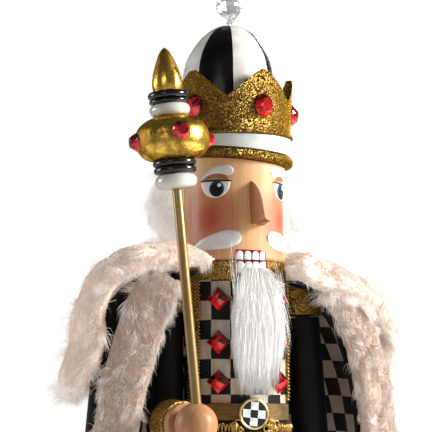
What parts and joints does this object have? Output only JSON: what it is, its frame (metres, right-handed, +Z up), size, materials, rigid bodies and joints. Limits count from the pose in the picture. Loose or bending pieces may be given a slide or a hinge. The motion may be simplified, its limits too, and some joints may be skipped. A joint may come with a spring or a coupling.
{
  "type": "nutcracker figure",
  "caption": "Turned wooden king nutcracker with crown, sceptre, fur-trimmed cape and a lever-worked jaw, standing on a stepped plinth.",
  "frame": {"origin": "centre of the plinth's underside", "axes": "+Z up; the figure faces -Y and its right hand is on the -X side"},
  "size_m": [0.288, 0.2354, 0.618],
  "materials": {
    "black_felt": "matt felt",
    "black_lacquer": "gloss black paint",
    "black_paint": "satin black paint",
    "gold_glitter": "fine gold glitter",
    "gold_leaf": "polished gold leaf",
    "gold_paint": "satin gold paint",
    "gold_braid": "metallic gold braid",
    "bronze_ribbon": "satin ribbon",
    "cream_paint": "satin cream paint",
    "white_paint": "gloss white paint",
    "check_paint": "hand-painted black and cream checks",
    "gore_paint": "gloss black and white gores",
    "check_enamel": "black and white enamel squares",
    "natural_wood": "clear satin lacquer",
    "bare_wood": "bare dowel",
    "polished_brass": "polished",
    "steel": "bright drawn",
    "red_stone": "faceted, foil-backed",
    "crystal": "cut and polished",
    "white_fur": "long straight faux fur",
    "cream_fur": "plush faux fur",
    "black_velvet": "velvet, check lining"
  },
  "bodies": {
    "figure": {"base_felt": "black_felt", "base_plinth": "black_lacquer", "base_step": "gold_glitter", "boot_foot_right": "black_lacquer", "boot_foot_left": "black_lacquer", "boot_shafts": "black_lacquer", "boot_cuffs": "gold_glitter", "legs": "cream_paint", "leg_dowels": "bare_wood", "coat_skirt": "check_paint", "skirt_braid": "gold_braid", "torso": "black_paint", "pivot_pin": "steel", "arm_dowels": "bare_wood", "vest": "check_paint", "vest_braids": "gold_braid", "vest_gems": "red_stone", "collar_band": "gold_glitter", "belt": "bronze_ribbon", "belt_braid": "gold_braid", "buckle": "check_enamel", "buckle_rim": "polished_brass", "epaulet_right": "gold_glitter", "epaulet_left": "gold_glitter", "upper_arm_right": "black_paint", "upper_arm_left": "black_paint", "forearm_right": "black_paint", "cuff_right": "gold_glitter", "cuff_left": "gold_glitter", "wrists": "natural_wood", "hand_right": "natural_wood", "hand_left": "natural_wood", "head": "natural_wood", "nose": "natural_wood", "hair": "white_fur", "crown_dowel": "bare_wood", "crown_rim": "gold_glitter", "crown_band": "white_paint", "crown_bead": "gold_glitter", "crown_wall": "gold_glitter", "crown_gems": "red_stone", "dome": "gore_paint", "finial_pin": "steel", "finial_crystal": "crystal", "cape": "black_velvet", "fur_trim_right": "cream_fur", "fur_trim_left": "cream_fur", "fur_collar": "cream_fur"},
    "jaw": {"jaw_lever": "black_paint"},
    "beard": {"beard": "white_fur"},
    "sceptre": {"sceptre_rod": "gold_paint", "sceptre_white_ring_low": "white_paint", "sceptre_black_rings_low": "black_lacquer", "sceptre_orb": "gold_leaf", "sceptre_gems": "red_stone", "sceptre_white_ring_high": "white_paint", "sceptre_black_ring_high": "black_lacquer", "sceptre_tip": "gold_leaf"}
  },
  "joints": [
    {"name": "jaw_hinge", "type": "hinge", "parent": "figure", "child": "jaw", "pos_m": [0, -0.004, 0.36], "axis": [1, 0, 0], "range_deg": [0, 18]},
    {"name": "beard_hang", "type": "hinge", "parent": "jaw", "child": "beard", "pos_m": [0, -0.043, 0.386], "axis": [1, 0, 0], "range_deg": [-18, 0]},
    {"name": "sceptre_pull", "type": "slide", "parent": "figure", "child": "sceptre", "axis": [-0.0976, 0, 0.9952], "range_m": [0, 0.04]}
  ],
  "couplings": [
    {"joint": "beard_hang", "follows": "jaw_hinge", "ratio": -1}
  ]
}
